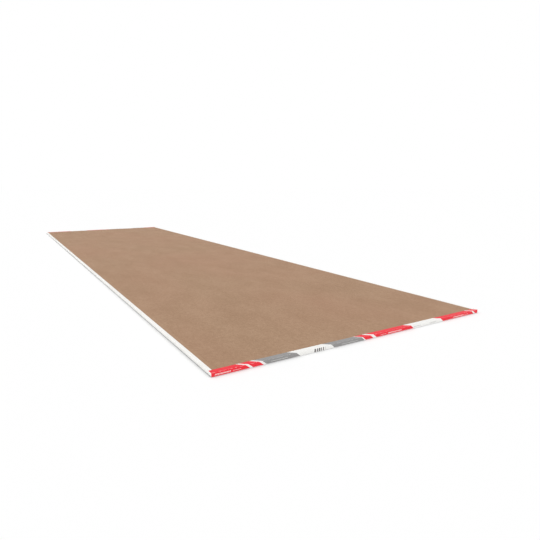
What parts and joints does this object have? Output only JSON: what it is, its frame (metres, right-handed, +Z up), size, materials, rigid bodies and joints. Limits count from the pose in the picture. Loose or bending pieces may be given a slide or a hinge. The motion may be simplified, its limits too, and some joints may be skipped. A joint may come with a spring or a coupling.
{
  "type": "drywall sheet",
  "caption": "Flat gypsum wallboard sheet with recessed long edges, pale face paper folded round the edges, a brown paper back and striped paper tape over each end.",
  "frame": {"origin": "on the floor under the middle of the sheet, which lies flat with its back up", "axes": "+Y along the length, +X across the width, +Z up through the thickness, out of the back"},
  "size_m": [1.2192, 4.2676, 0.0129],
  "materials": {
    "face_paper": "matte",
    "kraft_paper": "matte",
    "printed_tape": "satin"
  },
  "bodies": {
    "root": {"board": "face_paper", "back_paper": "kraft_paper", "near_end_tape": "printed_tape", "far_end_tape": "printed_tape"}
  },
  "joints": []
}
